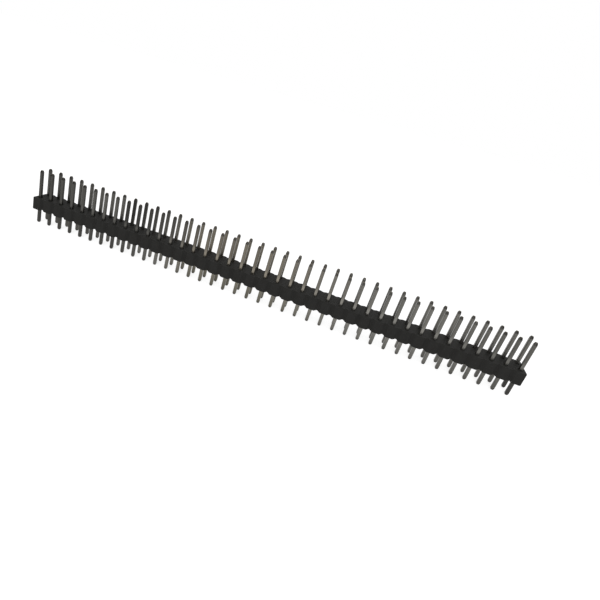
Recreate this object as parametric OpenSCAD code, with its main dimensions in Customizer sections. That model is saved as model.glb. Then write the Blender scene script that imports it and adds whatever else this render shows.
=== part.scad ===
// Straight male pin header with two rows of square pins.
// One moulded housing carries all pins and snaps apart at a notch between any two columns.
// Each pin is one length of square wire, coined to a four-sided point at both ends,
// and pressed through a square hole in the housing.
// +X runs along the strip, +Y across the rows and +Z up along the pins.
// The origin is the centre of the pin grid, in the plane that sits on the circuit board.

/* [Grid] */
// Number of columns along the strip, with two pins in each
columns = 40; // [2:1:59]
// Distance between neighbouring columns
pitch = 2.54; // [2.3:0.01:4]
// Distance between the two rows
row_pitch = 2.54; // [1.6:0.01:5]

/* [Pins] */
// Side of the square wire
pin_w = 0.64; // [0.5:0.02:0.76]
// Length of a contact end, above the housing
contact_l = 5.8; // [3:0.1:15]
// Length of a solder tail, below the housing
tail_l = 3; // [2:0.1:12]
// Length of the point on a contact end
contact_point_l = 0.4; // [0.2:0.05:1.2]
// Length of the point on a solder tail
tail_point_l = 0.3; // [0.2:0.05:1.2]
// Side of the flat left at the end of a point
point_flat_w = 0.44; // [0.2:0.02:0.48]

/* [Housing] */
// Height of the housing
body_h = 2.5; // [1.5:0.05:4]
// Plastic between a pin and the long side next to it
side_wall = 0.81; // [0.6:0.01:2]
// Distance from an end face to the column boundary just past it
end_inset = 0.35; // [0:0.05:0.6]
// Play between a pin and its hole, on each side of the pin
pin_play = 0; // [0:0.005:0.02]
// Flare of a hole at the underside, where the pin is pressed in
hole_flare = 0.1; // [0:0.01:0.15]

/* [Snap notches] */
// Depth of the notches in the long sides
notch_depth = 0.3; // [0.1:0.05:0.5]
// Width of such a notch at its mouth
notch_mouth_w = 1.1; // [0.6:0.05:1.4]
// Width of such a notch at its root
notch_root_w = 0.1; // [0:0.02:0.4]
// Depth of the channels across the underside
channel_depth = 0.2; // [0.1:0.05:0.8]
// Width of such a channel at its mouth
channel_mouth_w = 1.2; // [0.6:0.05:1.4]
// Width of such a channel at its root
channel_root_w = 0.2; // [0:0.02:0.5]

/* [Hidden] */
// How far a cutting shape runs past the face that it cuts
over = 1;
hole_w = pin_w + 2 * pin_play;
body_w = row_pitch + hole_w + 2 * side_wall;
body_l = columns * pitch - 2 * end_inset;
pin_bottom = -tail_l;
pin_top = body_h + contact_l;

// Place of column i, counted from 1 at the -X end, and of the boundary after it
function column_x(i) = (i - (columns + 1) / 2) * pitch;
function boundary_x(i) = (i - columns / 2) * pitch;
function pair_name(i) = str("pin_pair_", i < 10 ? "0" : "", i);

// A four-sided body: its full width is w at each height z of the stations [w, z]
module four_sided(stations) {
    count = len(stations);
    outline = concat(
        [for (s = stations) [s[0] / 2, s[1]]],
        [for (k = [count - 1 : -1 : 0]) [-stations[k][0] / 2, stations[k][1]]]
    );
    reach = max([for (s = stations) s[0]]) + over;
    intersection() {
        rotate([90, 0, 0]) linear_extrude(reach, center = true) polygon(outline);
        rotate([90, 0, 90]) linear_extrude(reach, center = true) polygon(outline);
    }
}

// Section of a notch: mouth on the X axis and root at depth, with a little beyond the mouth
module notch_section(mouth_w, root_w, depth) {
    slope = (mouth_w - root_w) / 2 / depth;
    outer = mouth_w / 2 + slope * over;
    polygon([[-outer, -over], [outer, -over], [root_w / 2, depth], [-root_w / 2, depth]]);
}

// One pin, standing at the middle of its own section
module pin() {
    four_sided([
        [point_flat_w, pin_bottom],
        [pin_w, pin_bottom + tail_point_l],
        [pin_w, pin_top - contact_point_l],
        [point_flat_w, pin_top]
    ]);
}

// What a pin's hole removes from the housing
module pin_hole() {
    four_sided([
        [hole_w + 2 * hole_flare, -over],
        [hole_w + 2 * hole_flare, 0],
        [hole_w, hole_flare],
        [hole_w, body_h + over]
    ]);
}

// The housing seen from above: a bar with a notch in both long sides at each boundary
module housing_plan() {
    difference() {
        square([body_l, body_w], center = true);
        for (i = [0 : columns], side = [-1, 1])
            translate([boundary_x(i), side * body_w / 2])
                mirror([0, side == 1 ? 1 : 0])
                    notch_section(notch_mouth_w, notch_root_w, notch_depth);
    }
}

// A channel across the underside, from one long side to the other
module channel() {
    rotate([90, 0, 0])
        linear_extrude(body_w + 2 * over, center = true)
            notch_section(channel_mouth_w, channel_root_w, channel_depth);
}

module housing() {
    color("#2c2b2b")
        difference() {
            linear_extrude(body_h) housing_plan();
            for (i = [0 : columns]) translate([boundary_x(i), 0]) channel();
            for (i = [1 : columns], side = [-1, 1])
                translate([column_x(i), side * row_pitch / 2]) pin_hole();
        }
}

// The two pins of one column, front and rear
module pin_pair(i) {
    color("#a9a79f")
        for (side = [-1, 1]) translate([column_x(i), side * row_pitch / 2]) pin();
}

housing();
for (i = [1 : columns])
    pin_pair(i);
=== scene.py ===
# %% [markdown]
# # A pin header strip, dressed for the studio
#
# The strip is a black moulded housing with two rows of square tin-plated pins.
# Its solids come from the CAD model and are never moved or reshaped here. What this
# lesson adds is everything that makes them look real: softened edges, a moulded
# plastic, a drawn and plated wire, a studio, and a camera.

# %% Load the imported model
import math
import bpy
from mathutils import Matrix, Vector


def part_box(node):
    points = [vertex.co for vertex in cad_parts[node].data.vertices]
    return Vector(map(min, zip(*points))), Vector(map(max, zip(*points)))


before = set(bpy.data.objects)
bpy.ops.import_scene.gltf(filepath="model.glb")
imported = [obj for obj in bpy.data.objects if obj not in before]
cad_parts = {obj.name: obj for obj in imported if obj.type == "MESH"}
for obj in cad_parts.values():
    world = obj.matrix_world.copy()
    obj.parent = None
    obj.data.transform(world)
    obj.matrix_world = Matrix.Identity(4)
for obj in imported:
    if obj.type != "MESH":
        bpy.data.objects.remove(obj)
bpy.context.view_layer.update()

from types import SimpleNamespace

import bpy
from mathutils import Quaternion, Vector

MM = 0.001
PINS = sorted(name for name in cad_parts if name.startswith("pin_pair_"))
print("pin pairs:", len(PINS))

# %% [markdown]
# ## Measure before dressing
#
# Every level that a finish needs is measured from the solids: where the tails end,
# where the housing starts and stops, and how far apart the columns are. A strip
# with other levels or another pitch would then dress itself in the same way.

# %% Levels and spacing, from the solids
body_low, body_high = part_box("housing")
pin_low, pin_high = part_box(PINS[0])
next_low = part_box(PINS[1])[0]
PITCH = next_low[0] - pin_low[0]
FIRST_X = (pin_low[0] + pin_high[0]) / 2
TAIL_Z, TOP_Z = pin_low[2], pin_high[2]
SEAT_Z, DECK_Z = body_low[2], body_high[2]
print(f"pitch {PITCH / MM:.2f} mm, pins from {TAIL_Z / MM:.1f} to {TOP_Z / MM:.1f} mm")
print(f"housing from {SEAT_Z / MM:.1f} to {DECK_Z / MM:.1f} mm")

# %% [markdown]
# ## The camera
#
# A short lens held close, above the strip and a little to its right, and turned
# about its own axis so that the strip runs downhill. The place, the aim and the
# turn are kept as three readable values. The frame's centre isn't the lens's
# centre, so two small shifts slide the picture.

# %% Camera
CAMERA_AT = Vector((13.39, -80.88, 35.93)) * MM
AIM_AT = Vector((-0.91, 0.0, 0.85)) * MM
TURN = math.radians(15.92)

lens = bpy.data.cameras.new("camera")
lens.lens, lens.sensor_width = 27.08, 36.0
lens.shift_x, lens.shift_y = 0.0767, -0.0341
lens.clip_start, lens.clip_end = 0.002, 20.0
camera = bpy.data.objects.new("camera", lens)
camera.location = CAMERA_AT
camera.rotation_mode = "QUATERNION"
look = (AIM_AT - CAMERA_AT).to_track_quat("-Z", "Y")
camera.rotation_quaternion = look @ Quaternion((0, 0, 1), TURN)
bpy.context.scene.collection.objects.link(camera)
bpy.context.scene.camera = camera
print(f"camera {(AIM_AT - CAMERA_AT).length / MM:.0f} mm from its aim")

# %% [markdown]
# ## A small language for shaders
#
# Node trees are easier to read as sums than as boxes and wires. A `Wire` holds one
# output of a node and understands plus, minus, times and divided by, on either side
# of a number, so `1 - mask` builds a Math node.

# %% Wires that can be added up
class Wire:
    """One output socket, which can be used in ordinary arithmetic."""

    def __init__(self, graph, socket):
        self.graph, self.socket = graph, socket

    def maths(self, operation, a, b):
        return self.graph.add("ShaderNodeMath", {"operation": operation}, {0: a, 1: b})

    def __add__(self, other):
        return self.maths("ADD", self, other)

    def __radd__(self, other):
        return self.maths("ADD", other, self)

    def __sub__(self, other):
        return self.maths("SUBTRACT", self, other)

    def __rsub__(self, other):
        return self.maths("SUBTRACT", other, self)

    def __mul__(self, other):
        return self.maths("MULTIPLY", self, other)

    def __rmul__(self, other):
        return self.maths("MULTIPLY", other, self)

    def __truediv__(self, other):
        return self.maths("DIVIDE", self, other)

    def __rtruediv__(self, other):
        return self.maths("DIVIDE", other, self)


print("a wire can be added, subtracted, multiplied and divided")

# %% [markdown]
# `Graph.add` makes every node from its type, its settings, and the values or wires
# for its sockets, and gives back the output to go on with. The other methods are
# short names for what the finishes do most: a smooth step, a mix of two colours, one
# layer over another, a noise, and the parts or the stretching of a place.

# %% Graphs that make nodes
class Graph:
    """The node tree of one finish, of the floor or of the world."""

    def __init__(self, tree):
        self.tree = tree
        tree.nodes.clear()

    def add(self, kind, settings=None, sockets=None, output=0):
        """A node: its type, its settings, its sockets, and which output to go on with."""
        node = self.tree.nodes.new(kind)
        for key, value in (settings or {}).items():
            setattr(node, key, value)
        for key, value in (sockets or {}).items():
            if isinstance(value, Wire):
                self.tree.links.new(value.socket, node.inputs[key])
            else:
                node.inputs[key].default_value = value
        return Wire(self, node.outputs[output]) if len(node.outputs) else node

    def between(self, value, low, high):
        """0 at low, 1 at high and beyond, with a smooth step in between."""
        settings = {"interpolation_type": "SMOOTHSTEP"}
        return self.add("ShaderNodeMapRange", settings, {0: value, 1: low, 2: high})

    def blend(self, factor, a, b, way="MIX"):
        """Colour a where factor is 0 and colour b where it is 1."""
        settings = {"data_type": "RGBA", "blend_type": way}
        return self.add("ShaderNodeMix", settings, {0: factor, 6: a, 7: b}, 2)

    def cover(self, under, mask, layer):
        """A layer, given as (the share it hides, its colour), laid over where mask is 1."""
        share, colour = layer
        return self.blend(mask * share, under, colour)

    def noise(self, where, scale, detail, roughness):
        """Soft random spots, that many to the metre, with that much fine detail."""
        sockets = {"Vector": where, "Scale": scale, "Detail": detail, "Roughness": roughness}
        return self.add("ShaderNodeTexNoise", None, sockets)

    def parts(self, vector):
        """The x, y and z of a place or a direction, as three wires."""
        node = self.add("ShaderNodeSeparateXYZ", None, {0: vector}).socket.node
        return [Wire(self, socket) for socket in node.outputs]

    def stretched(self, where, factors):
        """The same places, squeezed or drawn out along x, y and z."""
        return self.add("ShaderNodeVectorMath", {"operation": "MULTIPLY"}, {0: where, 1: factors})


def new_finish(name):
    """An empty material and the graph to fill it with."""
    material = bpy.data.materials.new(name)
    material.use_nodes = True
    return material, Graph(material.node_tree)


def grey(value, warmth=0.0):
    """A grey of that brightness, made yellower by the share given."""
    return (value * (1 + warmth / 2), value, value * (1 - warmth * 1.5), 1.0)


print("a warm grey:", grey(0.5, 0.1))

# %% [markdown]
# ## The moulded housing
#
# Such housings are moulded from black glass-filled nylon or polyester, so the skin
# is never quite plain: a fine grain from the mould, a slow cloudiness, pale flecks
# where short glass fibres reach the surface, and edges rubbed a little paler. The
# grain could be modelled, but at a few hundredths of a millimetre a bump does the
# same work.

# %% Colours and grain of the plastic
CHARCOAL, CLOUDY_CHARCOAL = grey(0.0262, 0.04), grey(0.0364, 0.03)
GLASS_FIBRE = (0.4, grey(0.062))
RUBBED_EDGE = (0.5, grey(0.066, 0.02))
GRAINS, CLOUDS = 9000.0, 700.0
FIBRES = (2200.0, 14000.0, 14000.0)
FIBRE_SHOWS = (0.64, 0.74)
GRAIN_DEPTH = 0.02 * MM
print(f"a grain each {1 / GRAINS / MM:.2f} mm")
print(f"fibres {FIBRES[1] / FIBRES[0]:.0f} times as long as thick")

# %% [markdown]
# The rubbed edges are found from the way the surface faces. The deck looks straight
# up and the walls look sideways, so what lies between is a rounded edge, and it is
# rubbed only in patches. The gloss is set low, because a mould grain this fine
# leaves hardly any.

# %% Plastic
EDGE_ABOVE_WALL, EDGE_BELOW_DECK = (0.15, 0.5), (0.98, 0.85)
PATCHES = (0.4, 0.6)


def moulded_plastic():
    material, g = new_finish("moulded_plastic")
    where = g.add("ShaderNodeTexCoord", output="Object")
    up = g.parts(g.add("ShaderNodeTexCoord", output="Normal"))[2]
    grain = g.noise(where, GRAINS, detail=3.0, roughness=0.6)
    cloud = g.noise(where, CLOUDS, detail=3.0, roughness=0.55)
    fibre = g.noise(g.stretched(where, FIBRES), 1.0, detail=1.0, roughness=0.4)
    fleck = g.between(fibre, *FIBRE_SHOWS)
    edge = g.between(up, *EDGE_ABOVE_WALL) * g.between(up, *EDGE_BELOW_DECK)

    tone = g.blend(cloud, CHARCOAL, CLOUDY_CHARCOAL)
    tone = g.cover(tone, fleck, GLASS_FIBRE)
    tone = g.cover(tone, edge * g.between(cloud, *PATCHES), RUBBED_EDGE)
    height = grain + fleck * 0.4
    bump = g.add("ShaderNodeBump", None, {"Strength": 0.35, "Distance": GRAIN_DEPTH, "Height": height})
    shader = g.add("ShaderNodeBsdfPrincipled", None, {
        "Base Color": tone,
        "Roughness": 0.48 + cloud * 0.16,
        "Specular IOR Level": 0.02,
        "Normal": bump,
    })
    g.add("ShaderNodeOutputMaterial", None, {"Surface": shader})
    return material


PLASTIC = moulded_plastic()
print("finish:", PLASTIC.name, "with", len(PLASTIC.node_tree.nodes), "nodes")

# %% [markdown]
# ## The plated pins
#
# The pins are square wire, drawn through a die, coined to a point at each end and
# then tin-plated. Drawing leaves fine lines along the wire, plating adds a soft
# cloudiness, and no two pins come out of the bath quite alike. The coined points and
# the feet are painted darker, as painted shade, and bare brass shows where each wire
# was cut. Pairs of levels are given as (where it starts, where it is full).

# %% Levels up and down a pin
POINT = (TOP_Z - 0.65 * MM, TOP_Z - 0.35 * MM)
FOOT = (TAIL_Z + 0.60 * MM, TAIL_Z + 0.20 * MM)
CUT_TOP = (TOP_Z - 0.04 * MM, TOP_Z)
CUT_TAIL = (TAIL_Z + 0.04 * MM, TAIL_Z)
CONTACT = (SEAT_Z, DECK_Z)
# Painted sheen: the tin is painted paler just above and below the housing.
SHEEN_ABOVE_DECK = (DECK_Z + 2.0 * MM, DECK_Z + 0.7 * MM)
SHEEN_ON_TAILS = (TAIL_Z, TAIL_Z + 4.5 * MM)
print(f"points from {POINT[0] / MM:.2f} mm up, feet from {FOOT[0] / MM:.2f} mm down")

# %% [markdown]
# Slower changes run over many pins at once, so they are written as smooth steps
# along the strip. They are painted light and shade. Painted shade makes the pins darker
# towards both ends of the strip, along a slant across the rows, and in steps that are
# darkest where each begins and slowly clear; the rear tails get less of it. The rear
# contacts get painted light against the shade of the front row in their reflections.
# Next to the housing the tin gets a painted sheen, and in the middle of the strip a
# painted warm reflection. The last tails get painted shade at the end of the strip.

# %% Stretches along the strip
# Painted shade: the pins are painted darker towards both ends of the strip, on a slant across the
# rows.
LEFT_SHADE_SPAN, RIGHT_SHADE_SPAN = (-17 * MM, -33 * MM), (24 * MM, 52 * MM)
LEFT_ACROSS, LEFT_UP = 2.6, 1.2
RIGHT_ACROSS, RIGHT_UP = 3.0, 0.8
# Shares of the painted shade at the right end and on the tails; the rear tails get less of it.
RIGHT_SHADE_SHARE, TAIL_SHADE_SHARE, REAR_TAIL_RELIEF = 0.65, 0.15, 0.35
# Painted shade in steps along the strip, darkest where each step begins.
SHADE_STEP_START, SHADE_STEP_LENGTH = -30.5 * MM, 33 * MM
# Painted shade on the tails at the end of the strip.
LAST_TAILS_SPAN = (47.5 * MM, 49.0 * MM)
# Painted warm reflection over the middle of the strip.
WARMTH_FROM, WARMTH_UNTIL = (-24 * MM, -12 * MM), (24 * MM, 0.0)
# The painted sheen is left off the first few columns.
SHEEN_FROM = (-47 * MM, -38 * MM)
REAR_ROW = (-0.5 * MM, 0.5 * MM)
print(f"dull beyond {LEFT_SHADE_SPAN[1] / MM:.0f} mm and {RIGHT_SHADE_SPAN[1] / MM:.0f} mm")

# %% [markdown]
# Each of these changes becomes a mask, a number from 0 to 1 at every place on a pin.
# The masks could be painted by hand, but 80 pins would need 80 paintings. Written as
# smooth steps of x, y and z, one material serves them all. The luck of a pin comes
# from a noise that is fed with its column and row as whole numbers, so it is the
# same all over that pin and different on the next.

# %% Where the tin differs, and where light and shade are painted
def tin_places(g, where):
    """Masks from 0 to 1 for each way in which the tin isn't the same all over, and for where light,
    shade, a sheen and a warm reflection are painted.
    """
    x, y, z = g.parts(where)
    contact = g.between(z, *CONTACT)
    # Painted sheen next to the housing.
    painted_sheen = g.between(z, *SHEEN_ABOVE_DECK) * g.between(z, *SHEEN_ON_TAILS)
    # The rear row: painted light on its contacts, less painted shade on its tails.
    rear = g.between(y, *REAR_ROW)
    # Painted shade, darker towards the ends of the strip and in steps along it.
    shade_steps = (x - SHADE_STEP_START) / SHADE_STEP_LENGTH
    into_shade_step = g.add("ShaderNodeMath", {"operation": "FRACT"}, {0: shade_steps})
    contact_shade = contact * (1 - painted_sheen) * (0.5 - into_shade_step)
    tail_shade = (1 - contact) * (TAIL_SHADE_SHARE - rear * REAR_TAIL_RELIEF)
    left = g.between(x + y * LEFT_ACROSS - z * LEFT_UP, *LEFT_SHADE_SPAN)
    right = g.between(x - y * RIGHT_ACROSS - z * RIGHT_UP, *RIGHT_SHADE_SPAN)
    return SimpleNamespace(
        contact=contact,
        point=g.between(z, *POINT),
        foot=g.between(z, *FOOT),
        cut=g.between(z, *CUT_TOP) + g.between(z, *CUT_TAIL),
        # painted sheen next to the housing
        painted_sheen=painted_sheen * g.between(x, *SHEEN_FROM),
        # painted light on the rear contacts
        rear=rear * contact,
        # painted warm reflection in the middle of the strip
        painted_warmth=g.between(x, *WARMTH_FROM) * g.between(x, *WARMTH_UNTIL),
        # painted shade along the strip
        painted_shade=left * (1 + contact_shade + tail_shade) + right * RIGHT_SHADE_SHARE,
        # painted shade on the last tails
        end_tail_shade=g.between(x, *LAST_TAILS_SPAN) * (1 - contact),
    )


def pin_luck(g, where):
    """One random number from 0 to 1 for each pin, from its column and its row."""
    x, y = g.parts(where)[:2]
    column = g.add("ShaderNodeMath", {"operation": "ROUND"}, {0: (x - FIRST_X) / PITCH})
    row = g.add("ShaderNodeMath", {"operation": "SIGN"}, {0: y})
    pin = g.add("ShaderNodeCombineXYZ", None, {0: column, 1: row})
    return g.add("ShaderNodeTexWhiteNoise", None, {"Vector": pin})


print("masks for the contacts, points, feet, cuts, and fresh, thin, dull and gripped tin")

# %% [markdown]
# The colours are laid one over the other: the cloudy plating, the luck of each pin,
# the drawn lines, painted light on the rear contacts, a painted sheen, a painted warm
# reflection, painted shade along the strip, painted shade on the coined ends, the feet
# and the last tails, and the cuts. A metal's colour is what it mirrors, so these greys
# are darker than the pins look between white walls.

# %% Colours of the tin
TIN, CLOUDY_TIN = grey(0.12, 0.06), grey(0.175, 0.06)
DARK_PIN, PALE_PIN, LUCK_SHARE = grey(0.07, 0.06), grey(0.25, 0.06), 0.25
DRAWN_LINE = (0.3, grey(0.08, 0.06))
# Painted light on the rear contacts, against the shade of the front row in their reflections.
REAR_PAINTED_LIGHT = (0.2, grey(0.32, 0.06))
# Painted sheen near the housing.
SHEEN_PAINTED_TIN = (0.5, grey(0.32, 0.05))
# Painted warm reflection: tails darker and warmer, contacts warmer.
WARMTH_ON_TAIL, WARMTH_ON_CONTACT = (0.80, 0.76, 0.64, 1.0), (1.04, 0.95, 0.82, 1.0)
WARMTH_SHARE = 0.8
# Painted shade along the strip.
SHADE_PAINTED_TIN = (0.68, grey(0.04, 0.05))
# Painted shade on the coined points and on the feet.
POINT_PAINTED_SHADE, FOOT_PAINTED_SHADE = (0.82, grey(0.045, 0.06)), (0.55, grey(0.045, 0.06))
# Painted shade on the last tails.
END_TAIL_PAINTED_SHADE = (0.7, grey(0.03, 0.05))
BARE_BRASS = (0.5, (0.16, 0.12, 0.06, 1.0))


def tin_colour(g, at, cloud, lines, luck):
    tin = g.blend(cloud, TIN, CLOUDY_TIN)
    tin = g.blend(LUCK_SHARE, tin, g.blend(luck, DARK_PIN, PALE_PIN))
    tin = g.cover(tin, lines, DRAWN_LINE)
    # Painted light on the rear contacts.
    tin = g.cover(tin, at.rear, REAR_PAINTED_LIGHT)
    # Painted sheen near the housing.
    tin = g.cover(tin, at.painted_sheen, SHEEN_PAINTED_TIN)
    # Painted warm reflection in the middle of the strip.
    warm_reflection_tint = g.blend(at.contact, WARMTH_ON_TAIL, WARMTH_ON_CONTACT)
    tin = g.blend(at.painted_warmth * WARMTH_SHARE, tin, warm_reflection_tint, "MULTIPLY")
    # Painted shade along the strip.
    tin = g.cover(tin, at.painted_shade, SHADE_PAINTED_TIN)
    # Painted shade on the coined points and on the feet.
    tin = g.cover(tin, at.point, POINT_PAINTED_SHADE)
    tin = g.cover(tin, at.foot, FOOT_PAINTED_SHADE)
    # Painted shade on the last tails.
    tin = g.cover(tin, at.end_tail_shade, END_TAIL_PAINTED_SHADE)
    return g.cover(tin, at.cut, BARE_BRASS)


print("tin from", TIN[:3], "to", CLOUDY_TIN[:3])

# %% [markdown]
# The finish itself is a rough metal. Its lines are a noise that is drawn out along
# the wire, and the lines and the clouds also feed the bump and the roughness, so
# that colour and gloss change together, as they do on a real surface.

# %% Plating
LINES, BATH_CLOUDS = 16000.0, 1800.0
ALONG_THE_WIRE = (1.0, 1.0, 0.03)
LINE_DEPTH = 0.01 * MM


def tin_plating():
    material, g = new_finish("tin_plating")
    where = g.add("ShaderNodeTexCoord", output="Object")
    lines = g.noise(g.stretched(where, ALONG_THE_WIRE), LINES, detail=3.0, roughness=0.6)
    cloud = g.noise(where, BATH_CLOUDS, detail=4.0, roughness=0.6)
    at = tin_places(g, where)
    height = lines + cloud * 0.5
    bump = g.add("ShaderNodeBump", None, {"Strength": 0.25, "Distance": LINE_DEPTH, "Height": height})
    shader = g.add("ShaderNodeBsdfPrincipled", None, {
        "Base Color": tin_colour(g, at, cloud, lines, pin_luck(g, where)),
        "Metallic": 1.0,
        # The painted shade along the strip also raises the roughness a little.
        "Roughness": 0.24 + lines * 0.10 + cloud * 0.08 + at.painted_shade * 0.05,
        "Normal": bump,
    })
    g.add("ShaderNodeOutputMaterial", None, {"Surface": shader})
    return material


PLATING = tin_plating()
print("finish:", PLATING.name, "with", len(PLATING.node_tree.nodes), "nodes")

# %% [markdown]
# ## Softened edges
#
# No moulded or drawn edge is perfectly sharp, and the thin line of light that a
# rounded edge catches is what the eye reads as size. Modifiers round the CAD meshes
# without touching them. A CAD mesh comes as loose triangles, on which a bevel finds
# no edge to round. So a Weld joins them first, and a Decimate that only dissolves
# flat neighbours gives back whole faces. The wire's long corners are rounder than
# its coined points, and the housing's edges are kept crisp.

# %% Edges and finishes on the CAD solids
JOIN_WITHIN = 0.001 * MM
FLAT_WITHIN = math.radians(0.5)
# Roundings as (radius, segments, smallest angle between the faces, in degrees)
HOUSING_EDGES = (0.05 * MM, 2, 12)
WIRE_CORNERS = (0.15 * MM, 4, 84)
POINT_EDGES = (0.06 * MM, 2, 50)


def dress(name, finish, *roundings):
    """Give a solid its finish and its rounded edges."""
    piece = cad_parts[name]
    for slot in piece.material_slots:
        slot.material = finish
    weld = piece.modifiers.new("join the triangles", "WELD")
    weld.merge_threshold = JOIN_WITHIN
    flat = piece.modifiers.new("whole faces", "DECIMATE")
    flat.decimate_type, flat.angle_limit = "DISSOLVE", FLAT_WITHIN
    for radius, segments, angle in roundings:
        bevel = piece.modifiers.new("soft edges", "BEVEL")
        bevel.width, bevel.segments = radius, segments
        bevel.limit_method, bevel.angle_limit = "ANGLE", math.radians(angle)
        bevel.harden_normals = True


dress("housing", PLASTIC, HOUSING_EDGES)
for name in PINS:
    dress(name, PLATING, WIRE_CORNERS, POINT_EDGES)
print("dressed:", 1 + len(PINS), "solids")

# %% [markdown]
# ## The studio
#
# The strip stands on its tails on a plain white sheet, under soft lamps and an even
# sky, at a level at which a colour renders about as it is written. The sheet and
# the sky are lifted to white only where the eye, a reflection or a clear thing
# looks at them, so the white costs the strip no extra light and the sheet keeps
# its shadow.

# %% Floor
PAPER = grey(0.4)
PAPER_LIFT = 0.82
FLOOR_HALF = 2.5


def seen(g):
    """1 for what the camera or a reflection looks at, 0 for light that bounces."""
    paths = g.add("ShaderNodeLightPath").socket.node.outputs
    kinds = ("Is Camera Ray", "Is Glossy Ray", "Is Transmission Ray")
    eye, gloss, clear = (Wire(g, paths[kind]) for kind in kinds)
    return g.add("ShaderNodeMath", {"operation": "MINIMUM"}, {0: eye + gloss + clear, 1: 1.0})


def white_sheet():
    material, g = new_finish("white_sheet")
    paper = g.add("ShaderNodeBsdfDiffuse", None, {"Color": PAPER})
    lift = g.add("ShaderNodeEmission", None, {"Color": grey(1.0), "Strength": seen(g) * PAPER_LIFT})
    both = g.add("ShaderNodeAddShader", None, {0: paper, 1: lift})
    g.add("ShaderNodeOutputMaterial", None, {"Surface": both})
    return material


def panel(name, corners, material):
    """A flat sheet that belongs to the studio, not to the strip."""
    mesh = bpy.data.meshes.new(name)
    mesh.from_pydata(corners, [], [(0, 1, 2, 3)])
    mesh.materials.append(material)
    thing = bpy.data.objects.new(name, mesh)
    bpy.context.scene.collection.objects.link(thing)
    return thing


around = ((-1, -1), (1, -1), (1, 1), (-1, 1))
panel("sheet", [(i * FLOOR_HALF, j * FLOOR_HALF, TAIL_Z) for i, j in around], white_sheet())
print(f"floor at {TAIL_Z / MM:.2f} mm, {2 * FLOOR_HALF:.0f} m wide")

# %% [markdown]
# A metal is only as good as what it mirrors. In a studio a black card stands behind
# the camera, so that polished points and corners have something dark to show. The
# card is for reflections alone: it throws no shadow and the camera never sees it.

# %% Black card
CARD_Y, CARD_HALF, CARD_HEIGHT = -0.55, 0.90, 0.60


def black_felt():
    material, g = new_finish("black_felt")
    felt = g.add("ShaderNodeBsdfDiffuse", None, {"Color": grey(0.03)})
    g.add("ShaderNodeOutputMaterial", None, {"Surface": felt})
    return material


upright = ((-1, 0), (1, 0), (1, 1), (-1, 1))
card = panel("card", [(i * CARD_HALF, CARD_Y, j * CARD_HEIGHT) for i, j in upright], black_felt())
card.visible_camera = card.visible_shadow = card.visible_diffuse = False
print(f"card {2 * CARD_HALF:.1f} m wide, {-CARD_Y:.2f} m in front of the strip")

# %% [markdown]
# The sky is one even dome. It lights the strip at about half of white, and shows
# as full white in reflections, as the walls of a light tent would.

# %% Sky
SKY_LIGHT = 0.55
world = bpy.data.worlds.new("sky")
world.use_nodes = True
sky = Graph(world.node_tree)
glow = SKY_LIGHT + seen(sky) * (1 - SKY_LIGHT)
dome = sky.add("ShaderNodeBackground", None, {"Color": grey(1.0), "Strength": glow})
sky.add("ShaderNodeOutputWorld", None, {"Surface": dome})
bpy.context.scene.world = world
print("sky:", world.name)

# %% [markdown]
# The key lamp is a soft box in front of the strip and above it, so that the front
# wall and the deck get nearly the same light. A faint lamp overhead keeps the deck
# from going flat. A third, low behind, fills the back wall, and is kept out of
# reflections so that it can't glare off the deck.

# %% Lamps
def lamp(name, place, size, watts):
    """A square soft box at that place, facing the strip."""
    light = bpy.data.lights.new(name, "AREA")
    light.shape, light.size, light.energy = "SQUARE", size, watts
    thing = bpy.data.objects.new(name, light)
    thing.location = Vector(place)
    thing.rotation_mode = "QUATERNION"
    thing.rotation_quaternion = (-Vector(place)).to_track_quat("-Z", "Y")
    bpy.context.scene.collection.objects.link(thing)
    print(f"lamp {name}: {watts} W, {size} m square")
    return thing


lamp("key", place=(-0.01, -0.42, 0.24), size=0.34, watts=1.05)
lamp("top", place=(0.10, 0.15, 0.50), size=0.50, watts=0.06)
back = lamp("back", place=(0.05, 0.47, 0.08), size=0.34, watts=0.60)
back.visible_glossy = False
bpy.context.scene.view_settings.view_transform = "Standard"
